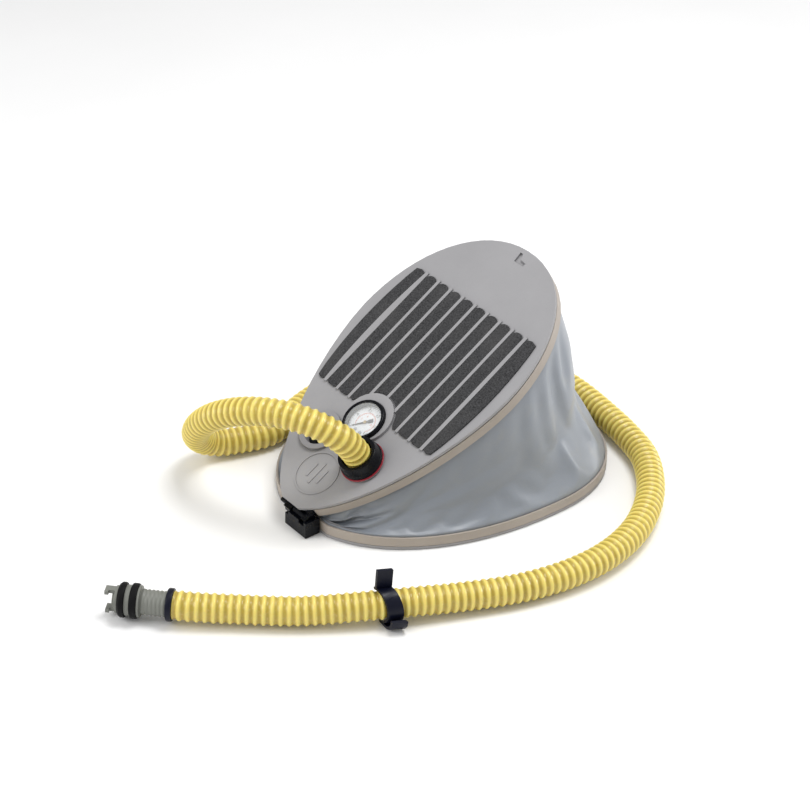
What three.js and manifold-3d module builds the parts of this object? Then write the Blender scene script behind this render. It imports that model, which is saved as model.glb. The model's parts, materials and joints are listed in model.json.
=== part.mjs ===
// Foot air pump: a base plate and a hinged pedal joined by a fabric bellows, with a pressure gauge,
// an inlet port, and a corrugated hose that ends in a bayonet valve adapter.
// Millimetres, +Z up. +X runs from the hinge to the heel, +Y to the left of a foot on the pedal.
// Pedal pieces are drawn in the pedal's own frame (u along it, v across it, h out of its top face).

import * as THREE from 'three';
import Module from 'manifold-3d';
import { mergeVertices } from 'three/addons/utils/BufferGeometryUtils.js';

const wasm = await Module();
wasm.setup();

// Driving dimensions
const ORIGIN_X = 150; // the model's origin lies this far behind the hinge end, under the base
const OPEN_ANGLE = THREE.MathUtils.degToRad(32);
const PLATE_Z = 12.6; // height of the plane where the pedal frame meets the base

const BASE_EGG = { nose: -2.5, mid: 182, heel: 296, halfWidth: 122.5, nosePower: 2.15, heelPower: 2.4 };
const PEDAL_EGG = { nose: -8, mid: 174, heel: 295, halfWidth: 96.5, nosePower: 1.62, heelPower: 2.1 };
const BASE_CUT = 2.5; // where the base's nose is cut straight
const PEDAL_CUT = -4.5; // where the pedal's top is cut straight
const SKIRT_CUT = 3.2; // where the pedal's clamped edge is cut straight, behind the hinge
const OUTLINE_STEPS = 32; // facets on each side of a plate's outline
const ROUND_SIDES = 28; // facets round a port, the gauge and the adapter
const AXIS = 0.001; // radius where a turned profile meets its axis

const BAND = 1.7; // clamp band thickness
const CLOTH_INSET = 2.1;
const CLOTH = 0.8;
const WALL_INSET = 3.2;
const WALL = 3;
const BASE_FLOOR = 2.6;
const BASE_TOP = 12;

const TOP = 15.6; // pedal top face
const TOP_THICK = 2.8;
const SKIRT_LOW = 2;

const HINGE = {
  x: -5, z: 12, knuckle: 5.5, bore: 2.3, pin: 2, frontX: -14, backX: 2.2, cheekY: -22, leftY: 4, rodEnd: 20.5,
};

const PORT = { u: 60, v: 30, hole: 17.6, body: 17.3, flange: 19.5 };
// The gauge's case: a body through the pedal, a bezel on it, and a deep well for the dial
// under a glass that sits on a ledge
const GAUGE = {
  u: 88.8, body: 18, hole: 18.3, bezel: 20, collarU: 93, collar: 24.5, well: 16.4, floor: 14.6, ledge: 20,
};
const EMBLEM = { u: 29, radius: 21.2, raise: 0.7 };
const TREAD = {
  pitch: 16.5, rib: 3, low: 97.6, high: 229, clear: 0.35, count: 10, // ribs and strips
  mid: 170, edge: 84.8, belly: 0.00147, leftBow: 3.6, rightBow: 0.8, // the outermost strips' bowed edges
};

// Outline of the blind recess for the storage catch, near the heel
const HEEL_CATCH = [[280.6, -7.5], [283.8, -7.5], [284.8, -0.6], [290.4, 2.2], [290.4, 5.4], [280.6, 4.2]];
const TREAD_TOP = TOP + 1.7; // top of the ribs
const LAST_RIB = TREAD.pitch * (TREAD.count / 2 - 1);
const BOW_STEPS = 10;

const SPRING = { x: 155, low: 34, high: 25, wire: 1.8, turns: 6 };

const HOSE_RADIUS = 12.5;

// Route of the hose's centre line, in the frame of the whole pump before it is shifted to its origin
const HOSE_ARCH = [
  [38.0, -30, 65.0],
  [32.9, -30, 73.2],
  [27.5, -29.5, 81.5],
  [18, -26.5, 92],
  [4, -15, 103],
  [-11, 4, 108],
  [-24, 27, 105],
  [-33, 51, 95],
  [-38, 75, 79],
  [-37, 97, 58],
  [-29, 114, 36],
  [-15, 121.8, 20],
  [-1.5, 119.9, 13.9],
  [8, 117, 12.9],
];
const HOSE_RUN = [
  [9, 116.69, 12.8],
  [19, 113.6, 12.6],
  [30, 110.2, 12.6],
  [41, 108.4, 12.6],
  [52, 109.2, 12.6],
  [66, 114, 12.6],
  [84, 121.6, 12.6],
  [106, 128.6, 12.6],
  [140, 135.5, 12.6],
  [180, 138.5, 12.6],
  [240, 130, 12.6],
  [286, 97, 12.6],
  [307, 50, 12.6],
  [311, 0, 12.6],
  [306, -48, 12.6],
  [300, -81, 12.6],
  [290, -114, 12.6],
  [271, -143, 12.6],
  [245, -169, 12.6],
  [208, -192, 12.6],
  [167, -204, 12.6],
  [125, -205, 12.6],
  [79, -196, 12.6],
  [30, -177, 13.5],
  [-8, -160, 15.3],
  [-27, -150.5, 15.6],
  [-47, -139.5, 15.3],
  [-86, -114.5, 13.2],
  [-124, -84.5, 13.6],
  [-156.6, -57.9, 14.8],
  [-163.8, -50.4, 14.8],
];
const CLIP_AT = { x: -27, y: -150.5, z: 15.6, heading: Math.atan2(20.5, -39) };
const CLIP_LEAN = 0.4; // how far the strap slips along the hose for each millimetre across it
const ADAPTER_AT = { x: -164.1, y: -50.1, z: 14.8, heading: Math.atan2(0.72, -0.69) };
const ADAPTER = {
  spigot: 10, core: 8.5, flange: 13.2,
  gasket: 14.5, gasketLength: 5.6, innerGasketAt: 28.4, outerGasketAt: 38.6,
};

// Materials
function paint(color, roughness, metalness = 0) {
  return new THREE.MeshStandardMaterial({ color, roughness, metalness });
}
const GREY_SHELL = () => paint(0xb3b0ae, 0.55);
const BEIGE_BAND = () => paint(0xcfc5b4, 0.6);
const BLUE_GREY_CLOTH = () => paint(0xa3acb4, 0.5);
const BLACK_PLASTIC = () => paint(0x101216, 0.4);
const CHARCOAL_RUBBER = () => paint(0x3b3b3c, 0.9);
const YELLOW_HOSE = () => paint(0xe2c860, 0.45);

// Boolean helpers
function toSolid(geometry) {
  const bare = geometry.clone();
  bare.deleteAttribute('normal');
  bare.deleteAttribute('uv');
  const welded = mergeVertices(bare, 1e-4);
  return new wasm.Manifold(new wasm.Mesh({
    numProp: 3,
    vertProperties: new Float32Array(welded.attributes.position.array),
    triVerts: new Uint32Array(welded.index.array),
  }));
}

function toGeometry(solid) {
  const mesh = solid.getMesh();
  const geometry = new THREE.BufferGeometry();
  geometry.setAttribute('position', new THREE.BufferAttribute(mesh.vertProperties, 3));
  geometry.setIndex(new THREE.BufferAttribute(mesh.triVerts, 1));
  const flat = geometry.toNonIndexed();
  flat.computeVertexNormals();
  return flat;
}

function join(...geometries) {
  const solids = geometries.map(toSolid);
  return toGeometry(solids.reduce((sum, solid) => sum.add(solid)));
}

function cut(geometry, ...tools) {
  const solids = tools.map(toSolid);
  return toGeometry(solids.reduce((rest, tool) => rest.subtract(tool), toSolid(geometry)));
}

// Shape helpers
function slab(points, low, high, hole) {
  const shape = new THREE.Shape(points);
  if (hole) {
    shape.holes.push(new THREE.Path(hole));
  }
  const geometry = new THREE.ExtrudeGeometry(shape, { depth: high - low, bevelEnabled: false });
  return geometry.translate(0, 0, low);
}

function box(x0, x1, y0, y1, z0, z1) {
  const geometry = new THREE.BoxGeometry(x1 - x0, y1 - y0, z1 - z0);
  return geometry.translate((x0 + x1) / 2, (y0 + y1) / 2, (z0 + z1) / 2);
}

function disc(x, y, radius, low, high, sides = ROUND_SIDES) {
  const geometry = new THREE.CylinderGeometry(radius, radius, high - low, sides);
  return geometry.rotateX(Math.PI / 2).translate(x, y, (low + high) / 2);
}

function crossRod(x, z, radius, y0, y1, sides = 20) {
  const geometry = new THREE.CylinderGeometry(radius, radius, y1 - y0, sides);
  return geometry.translate(x, (y0 + y1) / 2, z);
}

// A round solid about the line x, y: its profile is a closed list of [radius, height]
function turned(x, y, profile, sides = ROUND_SIDES) {
  const points = profile.map(([radius, height]) => new THREE.Vector2(radius, height));
  points.push(points[0].clone());
  return new THREE.LatheGeometry(points, sides).rotateX(Math.PI / 2).translate(x, y, 0);
}

function ringSlab(x, y, outer, inner, low, high, sides = ROUND_SIDES) {
  return turned(x, y, [[inner, low], [outer, low], [outer, high], [inner, high]], sides);
}

// Half-width of an egg-shaped outline at one station along it
function halfWidth(egg, x, inset = 0) {
  const front = x < egg.mid;
  const reach = front ? egg.mid - egg.nose - inset : egg.heel - egg.mid - inset;
  const power = front ? egg.nosePower : egg.heelPower;
  const ratio = Math.min(Math.abs(x - egg.mid) / reach, 1);
  return (egg.halfWidth - inset) * (1 - ratio ** power) ** (1 / power);
}

// The closed outline of a plate, its nose cut straight, all of it drawn in by an inset
function outline(egg, cutX, inset) {
  const front = cutX + inset;
  const left = [];
  for (let i = 0; i <= OUTLINE_STEPS; i += 1) {
    const turn = (Math.PI * i) / OUTLINE_STEPS;
    const x = egg.mid + Math.cos(turn) * (Math.cos(turn) > 0 ? egg.heel - egg.mid - inset : egg.mid - front);
    left.push(new THREE.Vector2(x, halfWidth(egg, x, inset)));
  }
  const right = left.slice(1).reverse().map((point) => new THREE.Vector2(point.x, -point.y));
  return left.concat(right);
}

function rim(egg, cutX, outerInset, innerInset, low, high) {
  return slab(outline(egg, cutX, outerInset), low, high, outline(egg, cutX, innerInset));
}

// A thin-walled sleeve through matching rings of points, closed by a lip at each end
function sleeve(outerRings, innerRings) {
  const rings = outerRings.concat(innerRings.slice().reverse());
  const count = rings[0].length;
  const positions = rings.flatMap((ring) => ring.flatMap((point) => [point.x, point.y, point.z]));
  const index = [];
  for (let r = 0; r < rings.length; r += 1) {
    const here = r * count;
    const next = ((r + 1) % rings.length) * count;
    for (let i = 0; i < count; i += 1) {
      const j = (i + 1) % count;
      index.push(here + i, here + j, next + j, here + i, next + j, next + i);
    }
  }
  const geometry = new THREE.BufferGeometry();
  geometry.setAttribute('position', new THREE.Float32BufferAttribute(positions, 3));
  geometry.setIndex(index);
  const flat = geometry.toNonIndexed();
  flat.computeVertexNormals();
  return flat;
}

// A round rod or hose along a curve
function roundSweep(curve, radius, steps, sides) {
  const section = new THREE.Shape();
  section.absarc(0, 0, radius, 0, 2 * Math.PI);
  const points = section.getSpacedPoints(sides).slice(0, sides);
  const facets = new THREE.Shape(points);
  return new THREE.ExtrudeGeometry(facets, { steps, extrudePath: curve, bevelEnabled: false });
}

function routeCurve(route) {
  const stops = route.map(([x, y, z]) => new THREE.Vector3(x, y, z));
  return new THREE.CatmullRomCurve3(stops, false, 'centripetal');
}

// Assembly
const pump = new THREE.Group();
pump.position.x = -ORIGIN_X;
const pedal = new THREE.Group();
pedal.position.z = PLATE_Z;
pedal.rotation.y = -OPEN_ANGLE;
pump.add(pedal);

function add(parent, name, geometry, material) {
  const mesh = new THREE.Mesh(geometry, material);
  mesh.name = name;
  parent.add(mesh);
}

function pedalPoint(u, v, h) {
  const x = u * Math.cos(OPEN_ANGLE) - h * Math.sin(OPEN_ANGLE);
  return new THREE.Vector3(x, v, PLATE_Z + u * Math.sin(OPEN_ANGLE) + h * Math.cos(OPEN_ANGLE));
}

// Base: a shallow tray with the bellows clamped round its wall
function addBase() {
  const floor = slab(outline(BASE_EGG, BASE_CUT, 0), 0, BASE_FLOOR);
  const wall = rim(BASE_EGG, BASE_CUT, WALL_INSET, WALL_INSET + WALL, BASE_FLOOR - 0.5, BASE_TOP);
  const springSeat = ringSlab(SPRING.x, 0, SPRING.low + 6, SPRING.low + 3, BASE_FLOOR - 0.5, BASE_FLOOR + 4);
  add(pump, 'base_plate', join(floor, wall, springSeat), GREY_SHELL());

  const band = rim(BASE_EGG, BASE_CUT, 0, BAND, BASE_FLOOR + 0.3, BASE_TOP - 0.6);
  add(pump, 'base_clamp_band', band, BEIGE_BAND());
}

// Hinge: a block in front of the base carries one knuckle and a closed cheek, and a leaf under the pedal
// carries two knuckles. The pin runs on past the leaf as a short rod.
function addHinge() {
  const { x, z, knuckle, bore, pin, frontX, backX, cheekY, leftY, rodEnd } = HINGE;
  const [middleLow, middleHigh] = [-15, 0];
  const footTop = 6;
  const block = join(
    box(frontX, backX, cheekY - 0.5, leftY, 0.3, footTop),
    box(frontX, frontX + 3, cheekY - 0.5, leftY, footTop - 0.5, 11.5),
    box(frontX, 0.8, cheekY - 3, cheekY, 0.3, 15.3),
    box(frontX, x + knuckle, middleLow, middleHigh, footTop - 0.5, z),
    box(frontX, x, middleLow, middleHigh, footTop - 0.5, 14.4),
    crossRod(x, z, knuckle, middleLow, middleHigh),
  );
  add(pump, 'hinge_block', cut(block, crossRod(x, z, bore, cheekY, leftY + 8)), BLACK_PLASTIC());
  add(pump, 'hinge_pin', crossRod(x, z, pin, cheekY + 0.3, rodEnd), BLACK_PLASTIC());

  // The hinge axis in the pedal's own frame, and the leaf's plate just under the pedal's top
  const drop = z - PLATE_Z;
  const axisU = x * Math.cos(OPEN_ANGLE) + drop * Math.sin(OPEN_ANGLE);
  const axisH = drop * Math.cos(OPEN_ANGLE) - x * Math.sin(OPEN_ANGLE);
  const leafHigh = TOP - TOP_THICK - 0.3;
  const leafLow = axisH + knuckle + 0.3;
  const leafParts = [
    box(-4.2, 2.9, -12, 12, leafLow, leafHigh),
    box(-2, 2.9, cheekY + 0.5, -11, leafLow, leafHigh),
  ];
  for (const [low, high] of [[cheekY + 0.5, middleLow - 0.3], [middleHigh + 0.3, 9]]) {
    leafParts.push(box(-9, 0.9, low, high, axisH, leafLow + 0.6));
    leafParts.push(crossRod(axisU, axisH, knuckle, low, high));
  }
  const leaf = cut(join(...leafParts), crossRod(axisU, axisH, bore, cheekY - 2, 12));
  add(pedal, 'hinge_leaf', leaf, BLACK_PLASTIC());
}

// Pedal: a domed-edge tray upside down, with ports, a gauge collar, an emblem ring and tread ribs
function ribStart(v) {
  const reach = GAUGE.collar + 0.5;
  if (Math.abs(v) >= reach) return TREAD.low;
  return Math.max(TREAD.low, GAUGE.collarU + Math.sqrt(reach ** 2 - v ** 2) - 1);
}

// The outermost strip on each side is a curved band: its inner and outer edges bow away from the last rib
function stripInnerEdge(u, side) {
  const bow = side > 0 ? TREAD.leftBow : TREAD.rightBow;
  const along = (u - (TREAD.low + TREAD.high) / 2) / ((TREAD.high - TREAD.low) / 2);
  return LAST_RIB + TREAD.rib / 2 + 2 * TREAD.clear + bow * (1 - along ** 2);
}

function stripOuterEdge(u) {
  return TREAD.edge - TREAD.belly * (u - TREAD.mid) ** 2;
}

function bowedEdge(edgeAt) {
  const points = [];
  for (let i = 0; i <= BOW_STEPS; i += 1) {
    const u = TREAD.low + ((TREAD.high - TREAD.low) * i) / BOW_STEPS;
    points.push([u, edgeAt(u)]);
  }
  return points;
}

function outerRib(side) {
  const bowed = bowedEdge((u) => stripInnerEdge(u, side) - TREAD.clear);
  const points = [[TREAD.low, LAST_RIB], ...bowed, [TREAD.high, LAST_RIB]];
  const shape = points.map(([u, v]) => new THREE.Vector2(u, side * v));
  return slab(shape, TOP - 1, TREAD_TOP);
}

function addPedalPlate() {
  const parts = [
    slab(outline(PEDAL_EGG, PEDAL_CUT, 0), TOP - TOP_THICK, TOP),
    rim(PEDAL_EGG, SKIRT_CUT, WALL_INSET, WALL_INSET + WALL, SKIRT_LOW, TOP - 1),
    ringSlab(SPRING.x, 0, SPRING.high + 6, SPRING.high + 3, 9, TOP - 1),
    ringSlab(EMBLEM.u, 0, EMBLEM.radius, EMBLEM.radius - 1.4, TOP - 1, TOP + EMBLEM.raise),
    disc(GAUGE.collarU, 0, GAUGE.collar, TOP - 1, TOP + 2.8),
  ];
  for (const offset of [-7, 0, 7]) {
    const length = offset === 0 ? 11 : 7;
    const top = TOP + EMBLEM.raise;
    parts.push(box(EMBLEM.u - length, EMBLEM.u + length, offset - 1.2, offset + 1.2, TOP - 1, top));
  }
  for (let k = 1 - TREAD.count / 2; k < TREAD.count / 2; k += 1) {
    const v = k * TREAD.pitch;
    parts.push(box(ribStart(v), TREAD.high, v - TREAD.rib / 2, v + TREAD.rib / 2, TOP - 1, TREAD_TOP));
  }
  parts.push(outerRib(1), outerRib(-1));
  const holes = [
    disc(PORT.u, PORT.v, PORT.hole, 0, 20),
    disc(PORT.u, -PORT.v, PORT.hole, 0, 20),
    disc(GAUGE.u, 0, GAUGE.hole, 0, TOP + 0.2),
    disc(GAUGE.u, 0, GAUGE.bezel + 0.4, TOP, 20),
    slab(HEEL_CATCH.map(([x, y]) => new THREE.Vector2(x, y)), TOP - 2.1, 20),
  ];
  add(pedal, 'pedal_plate', cut(join(...parts), ...holes), GREY_SHELL());

  const band = rim(PEDAL_EGG, SKIRT_CUT, 0, BAND, SKIRT_LOW + 0.4, TOP - TOP_THICK - 1);
  add(pedal, 'pedal_clamp_band', band, BEIGE_BAND());
}

// Tread: ten rubber strips between the ribs, the outer two following the pedal's edge
function innerStrip(place) {
  const inner = place * TREAD.pitch + TREAD.rib / 2 + TREAD.clear;
  const outer = (place + 1) * TREAD.pitch - TREAD.rib / 2 - TREAD.clear;
  const reach = GAUGE.collar + 1.5;
  const points = [];
  for (let i = 0; i <= 4; i += 1) {
    const v = inner + ((outer - inner) * i) / 4;
    const round = v < reach ? GAUGE.collarU + Math.sqrt(reach ** 2 - v ** 2) : 0;
    const corner = (i === 0 || i === 4) && round < TREAD.low ? 1.5 : 0;
    points.push([Math.max(TREAD.low, round) + corner, v]);
  }
  for (let i = 4; i >= 0; i -= 1) {
    const v = inner + ((outer - inner) * i) / 4;
    const sag = Math.abs(i - 2) === 2 ? 3 : Math.abs(i - 2) * 0.6;
    points.push([TREAD.high - sag, v]);
  }
  return points;
}

function outermostStrip(side) {
  const outer = bowedEdge(stripOuterEdge);
  const inner = bowedEdge((u) => stripInnerEdge(u, side)).reverse();
  const points = outer.concat(inner);
  // Soft corners: the four end points step in from the band's ends
  const corner = 1.6;
  for (const i of [0, points.length - 1]) {
    points[i] = [points[i][0] + corner, points[i][1]];
  }
  for (const i of [BOW_STEPS, BOW_STEPS + 1]) {
    points[i] = [points[i][0] - corner, points[i][1]];
  }
  points.splice(BOW_STEPS + 1, 0, [TREAD.high, (points[BOW_STEPS][1] + points[BOW_STEPS + 1][1]) / 2]);
  points.push([TREAD.low, (points[0][1] + points[points.length - 1][1]) / 2]);
  return points;
}

function stripOutline(index) {
  const half = TREAD.count / 2;
  const side = index < half ? 1 : -1;
  const place = index < half ? half - 1 - index : index - half;
  const points = place === half - 1 ? outermostStrip(side) : innerStrip(place);
  return points.map(([u, v]) => new THREE.Vector2(u, side * v));
}

function addTread() {
  for (let i = 0; i < TREAD.count; i += 1) {
    const name = `tread_strip_${String(i + 1).padStart(2, '0')}`;
    add(pedal, name, slab(stripOutline(i), TOP + 0.3, TOP + 1.4), CHARCOAL_RUBBER());
  }
}

// Gauge: a black case clamped by a nut under the pedal, its dial, pointer and glass
function addGauge() {
  const { u, body, bezel, well, floor, ledge } = GAUGE;
  const caseProfile = [
    [AXIS, 3], [8, 3], [8, 9], [body, 9], [body, TOP + 0.5], [bezel, TOP + 0.5], [bezel, 20.6],
    [19.2, 21.6], [17.3, 21.6], [17.1, ledge], [well, ledge], [well, floor], [AXIS, floor],
  ];
  add(pedal, 'gauge_case', turned(u, 0, caseProfile), BLACK_PLASTIC());
  const nut = cut(disc(u, 0, 12.5, 5, 8.6, 6), disc(u, 0, 8.4, 4, 9));
  add(pedal, 'gauge_nut', nut, paint(0xb8974e, 0.35, 0.9));
  const dial = cut(disc(u, 0, well - 0.3, floor + 0.3, floor + 0.8), disc(u, 0, 0.9, floor, floor + 1, 12));
  add(pedal, 'gauge_dial', dial, paint(0xe9eef2, 0.4));
  for (const side of [1, -1]) {
    const domeProfile = [[AXIS, 1.1], [1.6, 1.1], [1.3, 1.7], [0.6, 2], [AXIS, 2.05]];
    const dome = turned(u - 9.5, side * 3.2, domeProfile, 12).translate(0, 0, floor);
    add(pedal, side > 0 ? 'gauge_screw_left' : 'gauge_screw_right', dome, paint(0xc4c4c0, 0.3, 0.9));
  }

  // The pointer rests at zero, down and to the left of a reader who faces the heel
  const pointer = new THREE.Group();
  pointer.position.set(u, 0, floor);
  pointer.rotation.z = THREE.MathUtils.degToRad(135);
  pedal.add(pointer);
  const blade = slab([[12.5, 0.25], [1, 0.9], [-2, 0.8], [-3, 1.7], [-7.5, 1.7], [-7.5, -1.7], [-3, -1.7],
    [-2, -0.8], [1, -0.9], [12.5, -0.25]].map(([x, y]) => new THREE.Vector2(x, y)), 1.2, 1.6);
  add(pointer, 'gauge_needle', cut(blade, disc(0, 0, 0.62, 1, 2, 12)), paint(0x27191a, 0.5));
  const hub = turned(0, 0, [[AXIS, 0.3], [0.5, 0.3], [0.5, 1.8], [1.7, 1.8], [1.4, 2.4], [AXIS, 2.4]], 16);
  add(pointer, 'gauge_hub', hub, paint(0xb9a06a, 0.3, 0.9));

  const glass = paint(0xf4fbff, 0.05);
  glass.transparent = true;
  glass.opacity = 0.25;
  add(pedal, 'gauge_lens', disc(u, 0, 16.8, ledge + 0.3, ledge + 0.9), glass);
}

// A perforated valve seat: one central hole and a ring of six
function seat(u, v, radius, low, high) {
  const holes = [disc(u, v, 2.6, low - 1, high + 1, 10)];
  for (let i = 0; i < 6; i += 1) {
    const turn = (i * Math.PI) / 3;
    const x = u + 7.6 * Math.cos(turn);
    const y = v + 7.6 * Math.sin(turn);
    holes.push(disc(x, y, 2.6, low - 1, high + 1, 10));
  }
  return cut(disc(u, v, radius, low, high), ...holes);
}

// Ports: a one-way rubber flap under the inlet's seat, and another on the outlet's seat
function addPorts() {
  const { u, v, body, flange } = PORT;
  const inletWall = ringSlab(u, v, body, 14.6, 4.6, TOP + 1);
  const inletLedge = ringSlab(u, v, 15, 12.9, 4.6, 6.2);
  const inletFlange = ringSlab(u, v, flange, 14.6, TOP + 0.3, TOP + 2.8);
  add(pedal, 'inlet_port', join(inletWall, inletLedge, inletFlange), paint(0x9a999b, 0.55));
  add(pedal, 'inlet_seat', seat(u, v, 14.3, 6.5, 8.5), BLACK_PLASTIC());
  add(pedal, 'inlet_flap', disc(u, v, 12, 4.9, 6.2), CHARCOAL_RUBBER());

  const outletWall = ringSlab(u, -v, body, 14.2, 3.5, TOP + 1.8);
  const outletFlange = ringSlab(u, -v, flange, 14.2, TOP + 0.3, TOP + 1.8);
  const outlet = join(outletWall, outletFlange, seat(u, -v, 15, 3.5, 5.5));
  add(pedal, 'outlet_port', outlet, paint(0x9a999b, 0.55));
  add(pedal, 'outlet_flap', disc(u, -v, 12, 5.8, 7.1), CHARCOAL_RUBBER());
  add(pedal, 'outlet_seal_ring', ringSlab(u, -v, 19.9, 14.4, TOP + 2.1, TOP + 3.5), paint(0xb3202c, 0.4));

  const connector = [
    [9.5, 11], [13.8, 11], [13.8, 19.5], [19.2, 19.5], [19.2, 22.3], [18.4, 22.6],
    [17.2, 31], [13.9, 31], [13.6, 24], [9.5, 24],
  ];
  add(pedal, 'hose_connector', turned(u, -v, connector), BLACK_PLASTIC());
}

// Bellows: one coated-fabric sleeve, held in the clamp of each plate
function bellowsRings(inset) {
  const low = outline(BASE_EGG, BASE_CUT, inset);
  const high = outline(PEDAL_EGG, SKIRT_CUT, inset);
  const lowRing = (z) => low.map((point) => new THREE.Vector3(point.x, point.y, z));
  const highRing = (h) => high.map((point) => pedalPoint(point.x, point.y, h));
  const start = lowRing(BASE_TOP + 1);
  const end = highRing(SKIRT_LOW - 1);
  const between = [0.33, 0.67].map((part) => start.map((point, i) => point.clone().lerp(end[i], part)));
  return [lowRing(BASE_FLOOR + 1.4), start, ...between, end, highRing(9)];
}

function addBellows() {
  const cloth = sleeve(bellowsRings(CLOTH_INSET), bellowsRings(CLOTH_INSET + CLOTH));
  add(pump, 'bellows', cloth, BLUE_GREY_CLOTH());
}

// Return spring: a conical coil that stands between the plates on an arc about the hinge
class SpringCurve extends THREE.Curve {
  getPoint(t) {
    const reach = SPRING.x - HINGE.x;
    const from = THREE.MathUtils.degToRad(-2.2);
    const to = THREE.MathUtils.degToRad(34.2);
    const level = Math.min(Math.max((t * SPRING.turns - 0.75) / (SPRING.turns - 1.5), 0), 1);
    const lift = from + (to - from) * level;
    const radius = SPRING.low + (SPRING.high - SPRING.low) * t;
    const turn = 2 * Math.PI * SPRING.turns * t;
    const out = reach + radius * Math.cos(turn);
    return new THREE.Vector3(
      HINGE.x + out * Math.cos(lift),
      radius * Math.sin(turn),
      HINGE.z + out * Math.sin(lift),
    );
  }
}

function addSpring() {
  const steps = SPRING.turns * 12;
  const coil = roundSweep(new SpringCurve(), SPRING.wire, steps, 5);
  add(pump, 'return_spring', coil, paint(0x8f9296, 0.35, 0.9));
}

// Hose: the arch off the pedal, then the run on the floor round the pump
function addHose() {
  add(pump, 'air_hose_arch', roundSweep(routeCurve(HOSE_ARCH), HOSE_RADIUS, 18, 10), YELLOW_HOSE());
  add(pump, 'air_hose_run', roundSweep(routeCurve(HOSE_RUN), HOSE_RADIUS, 40, 10), YELLOW_HOSE());
}

// Hose clip: a C-shaped strap that leans along the hose, with a grip tab on top and a curled lip on the floor
function addClip() {
  const inner = HOSE_RADIUS + 0.5;
  const outer = inner + 2.2;
  const half = 6.4;
  const from = THREE.MathUtils.degToRad(-78);
  const to = THREE.MathUtils.degToRad(116);
  const arcSteps = 16;
  const arc = (radius) => Array.from({ length: arcSteps + 1 }, (_, i) => {
    const turn = from + ((to - from) * i) / arcSteps;
    return [radius * Math.cos(turn), radius * Math.sin(turn)];
  });
  const tab = [[-5, 13.6], [-2.5, 14], [-1.2, 33], [-3.8, 33]];
  const lip = [
    [1.5, -13.4], [3, -15.2], [13, -15.2], [17.4, -13], [20.4, -8.6], [21, -3.6], [18.4, -3.2],
    [17.8, -7.6], [15.8, -10.8], [12.4, -12.6], [3, -12.8],
  ];
  const outlines = [[...arc(outer), ...arc(inner).reverse()], tab, lip];
  const corners = (points) => points.map(([x, y]) => new THREE.Vector2(x, y));
  const pieces = outlines.map((points) => slab(corners(points), -half, half));
  const lean = new THREE.Matrix4().makeShear(0, -CLIP_LEAN, 0, 0, 0, 0);
  const clip = join(...pieces).applyMatrix4(lean).rotateX(Math.PI / 2).rotateZ(Math.PI / 2);
  const holder = new THREE.Group();
  holder.position.set(CLIP_AT.x, CLIP_AT.y, CLIP_AT.z);
  holder.rotation.z = CLIP_AT.heading;
  pump.add(holder);
  add(holder, 'hose_clip', clip, paint(0x1a1c2c, 0.5));
}

// Adapter: a ribbed spigot in the hose's cuff, two gaskets and a two-pronged bayonet.
// Profiles are [radius, distance along its axis].
function addAdapter() {
  const holder = new THREE.Group();
  holder.position.set(ADAPTER_AT.x, ADAPTER_AT.y, ADAPTER_AT.z);
  holder.rotation.z = ADAPTER_AT.heading;
  pump.add(holder);
  const along = (profile) => turned(0, 0, profile, 20).rotateY(Math.PI / 2);

  const cuffLength = 5;
  const cuffRim = [[13.6, 0.8], [13.6, cuffLength - 0.8], [13, cuffLength]];
  const cuff = [[11, 0], [13.2, 0], ...cuffRim, [11, cuffLength]];
  add(holder, 'hose_cuff', along(cuff), paint(0x20263c, 0.5));

  const { spigot, core, flange, gasket, gasketLength, innerGasketAt, outerGasketAt } = ADAPTER;
  const bodyProfile = [[AXIS, 0.2], [spigot, 0.2]];
  const ribCount = 6;
  const ribPitch = 3.4;
  for (let rib = 0; rib < ribCount; rib += 1) {
    const start = cuffLength + 0.4 + rib * ribPitch;
    bodyProfile.push([spigot, start], [spigot + 0.6, start + 1]);
    bodyProfile.push([spigot + 0.6, start + 2], [spigot, start + 3]);
  }
  const flangeEnd = innerGasketAt - 0.3;
  const ringStart = innerGasketAt + gasketLength + 0.4;
  const ringEnd = outerGasketAt - 0.3;
  const headStart = outerGasketAt + gasketLength + 0.3;
  const headEnd = headStart + 3;
  bodyProfile.push(
    [spigot, flangeEnd - 1.6], [flange, flangeEnd - 1.6], [flange, flangeEnd], [core, flangeEnd],
    [core, ringStart], [flange - 0.6, ringStart], [flange - 0.6, ringEnd], [core, ringEnd],
    [core, headStart], [11.2, headStart], [11.2, headEnd - 0.8], [8, headEnd], [8, headEnd + 1.5],
    [4.6, headEnd + 1.5], [4.6, headStart - 2], [AXIS, headStart - 2],
  );
  const prongs = [];
  for (const side of [1, -1]) {
    const [low, high] = [side * 9 - 1.6, side * 9 + 1.6];
    prongs.push(box(headEnd - 1.5, headEnd + 7.6, -3, 3, low, high));
    prongs.push(box(headEnd + 4.4, headEnd + 7.6, -3, 5.5, low, high));
  }
  add(holder, 'adapter_body', join(along(bodyProfile), ...prongs), paint(0x8e8f86, 0.55));

  const gaskets = [['adapter_gasket_inner', innerGasketAt, 0.8], ['adapter_gasket_outer', outerGasketAt, 2]];
  for (const [name, start, bevel] of gaskets) {
    const end = start + gasketLength;
    const bore = core + 0.3;
    const ring = [
      [bore, start], [gasket - 0.4, start], [gasket, start + 0.8],
      [gasket, end - bevel], [gasket - bevel * 0.8, end], [bore, end],
    ];
    add(holder, name, along(ring), CHARCOAL_RUBBER());
  }
}

addBase();
addHinge();
addPedalPlate();
addTread();
addGauge();
addPorts();
addBellows();
addSpring();
addHose();
addClip();
addAdapter();

export default pump;
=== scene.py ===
"""Looks for the foot air pump: bellows cloth, corrugated hose, spring, dial print and the materials.

Metres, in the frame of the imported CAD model: +X from the hinge to the heel, +Y to the left of a foot
on the pedal.
"""

import json
import math

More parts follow.
